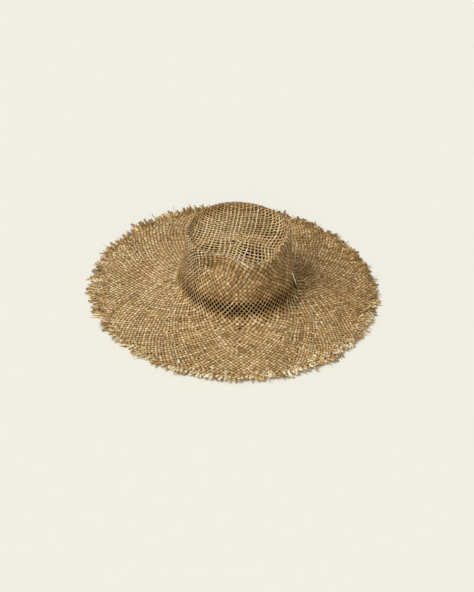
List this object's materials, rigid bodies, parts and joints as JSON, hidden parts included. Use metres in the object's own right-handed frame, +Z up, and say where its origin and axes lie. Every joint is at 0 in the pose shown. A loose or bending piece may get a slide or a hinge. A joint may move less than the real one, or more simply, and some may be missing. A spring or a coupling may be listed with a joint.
{
  "type": "seagrass sun hat",
  "caption": "Wide-brimmed open-weave seagrass sun hat with a dished, pinched crown, a frayed brim edge and a black inner sweatband.",
  "frame": {"origin": "middle of the brim's footprint, on the surface that the hat stands on", "axes": "+Z up, -Y towards the front of the hat, where the crown is pinched, +X towards the wearer's left"},
  "size_m": [0.4662, 0.4945, 0.1038],
  "materials": {
    "seagrass": "matte",
    "frayed_seagrass": "matte",
    "ribbon": "matte"
  },
  "bodies": {
    "root": {"crown": "seagrass", "brim": "seagrass", "fringe": "frayed_seagrass", "sweatband": "ribbon"}
  },
  "joints": []
}
